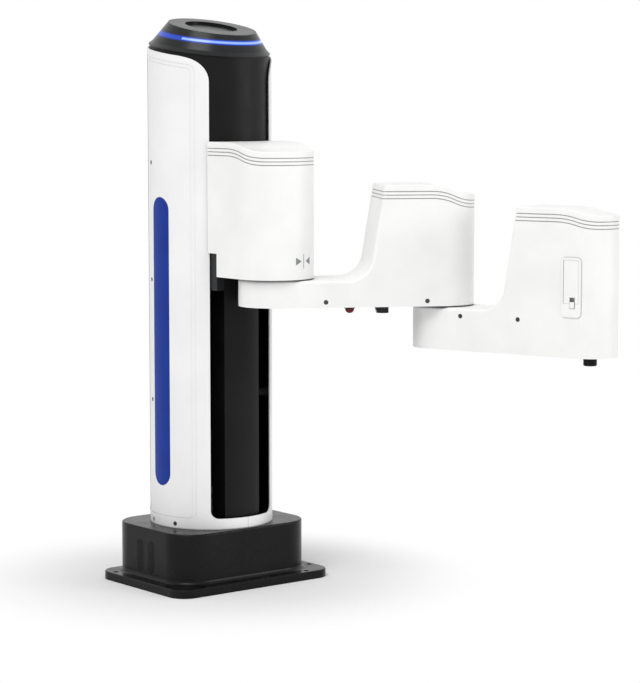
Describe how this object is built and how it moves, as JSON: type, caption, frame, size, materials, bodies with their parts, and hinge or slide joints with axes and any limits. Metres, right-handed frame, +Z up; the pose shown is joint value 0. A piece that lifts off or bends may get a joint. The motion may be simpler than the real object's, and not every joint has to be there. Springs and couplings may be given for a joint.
{
  "type": "scara robot arm",
  "caption": "Column-lift SCARA robot arm with a sliding shoulder, two swinging links and a turning tool shaft.",
  "frame": {"origin": "centre of the base plate's underside, on the surface it stands on", "axes": "+Z up the column, +X to the front where the arms reach, +Y to the robot's left"},
  "size_m": [0.5259, 0.3835, 0.6833],
  "materials": {
    "cast_black": "smooth semi-gloss black coat on a casting",
    "white_shell": "fine satin white moulding",
    "black_cover": "matt black moulding",
    "black_gloss": "glossy black moulding",
    "cap_grey": "satin dark grey moulding",
    "light_guide": "clear light guide lit blue",
    "stripe_blue": "satin blue inlay",
    "aluminium": "milled and bead-blasted",
    "steel": "ground steel",
    "screw_steel": "dark screws",
    "motor_black": "black coated motor case",
    "board_green": "solder mask",
    "button_red": "dark red glossy",
    "jack_metal": "pressed tin-plated steel",
    "shaft_black": "polished blackened steel"
  },
  "bodies": {
    "base": {"base_casting": "cast_black", "base_under_cover": "black_cover", "base_screws": "screw_steel", "control_board": "board_green", "rear_panel": "black_cover", "power_inlet": "black_gloss", "network_jacks": "jack_metal", "terminal_block": "board_green", "fan_frame": "black_cover", "column_motor": "motor_black", "column_foot_ring": "black_cover", "column_shell_right": "white_shell", "column_shell_left": "white_shell", "side_stripe_right": "stripe_blue", "side_stripe_left": "stripe_blue", "shell_brackets": "aluminium", "column_screws": "screw_steel", "front_cover": "black_cover", "upper_cover": "black_cover", "top_plate": "aluminium", "top_cap": "cap_grey", "light_band": "light_guide", "mast": "aluminium", "linear_rails": "steel", "screw_bearing_lower": "steel", "screw_bearing_upper": "steel"},
    "z_screw": {"ball_screw": "steel", "screw_coupling": "aluminium"},
    "fan": {"fan_rotor": "black_cover"},
    "switch": {"power_switch": "black_gloss"},
    "carriage": {"carriage_bracket": "motor_black", "rail_blocks": "steel", "screw_nut": "steel", "shoulder_housing": "white_shell", "shoulder_casting": "aluminium", "j1_reducer": "steel", "j1_motor": "motor_black"},
    "upper_arm": {"upper_arm_cover": "white_shell", "upper_arm_plate": "aluminium", "upper_arm_screws": "screw_steel", "j1_hub": "steel", "j2_reducer": "steel", "j2_motor": "motor_black", "button_collar": "black_gloss", "tool_connector": "black_gloss"},
    "button": {"release_button": "button_red"},
    "forearm": {"forearm_cover": "white_shell", "forearm_frame": "aluminium", "forearm_bottom_cover": "white_shell", "forearm_screws": "screw_steel", "j2_hub": "steel", "j4_motor": "motor_black", "tool_bearings": "steel", "service_bezel": "white_shell"},
    "door": {"service_door": "white_shell"},
    "latch": {"door_latch": "white_shell"},
    "tool": {"tool_shaft": "shaft_black"}
  },
  "joints": [
    {"name": "carriage_lift", "type": "slide", "parent": "base", "child": "carriage", "axis": [0, 0, 1], "range_m": [-0.235, 0.005]},
    {"name": "screw_turn", "type": "hinge", "parent": "base", "child": "z_screw", "pos_m": [-0.018, 0, 0.3], "axis": [0, 0, 1], "range_deg": [-100, 4300]},
    {"name": "shoulder_swing", "type": "hinge", "parent": "carriage", "child": "upper_arm", "pos_m": [0.1173, 0, 0.377], "axis": [0, 0, 1], "range_deg": [-145, 25]},
    {"name": "elbow_swing", "type": "hinge", "parent": "upper_arm", "child": "forearm", "pos_m": [0.2173, 0.1732, 0.344], "axis": [0, 0, 1], "range_deg": [-68.6, 151.4]},
    {"name": "tool_turn", "type": "hinge", "parent": "forearm", "child": "tool", "pos_m": [0.40685, 0.237, 0.2925], "axis": [0, 0, 1], "range_deg": [-360, 360]},
    {"name": "fan_spin", "type": "hinge", "parent": "base", "child": "fan", "pos_m": [-0.0079, -0.088, 0.0365], "axis": [0, 1, 0], "continuous": true},
    {"name": "switch_rock", "type": "hinge", "parent": "base", "child": "switch", "pos_m": [-0.07867, 0.017, 0.037], "axis": [0, -1, 0], "range_deg": [0, 8]},
    {"name": "button_press", "type": "slide", "parent": "upper_arm", "child": "button", "axis": [0, 0, 1], "range_m": [0, 0.0025], "stiffness_N_per_m": 800, "springref_m": -0.001},
    {"name": "door_swing", "type": "hinge", "parent": "forearm", "child": "door", "pos_m": [0.39984, 0.20093, 0.38], "axis": [0, 0, -1], "range_deg": [0, 90]},
    {"name": "latch_slide", "type": "slide", "parent": "forearm", "child": "latch", "axis": [0, 0, 1], "range_m": [0, 0.0045]}
  ],
  "couplings": [
    {"joint": "screw_turn", "follows": "carriage_lift", "rad_per_m": -314.16}
  ]
}
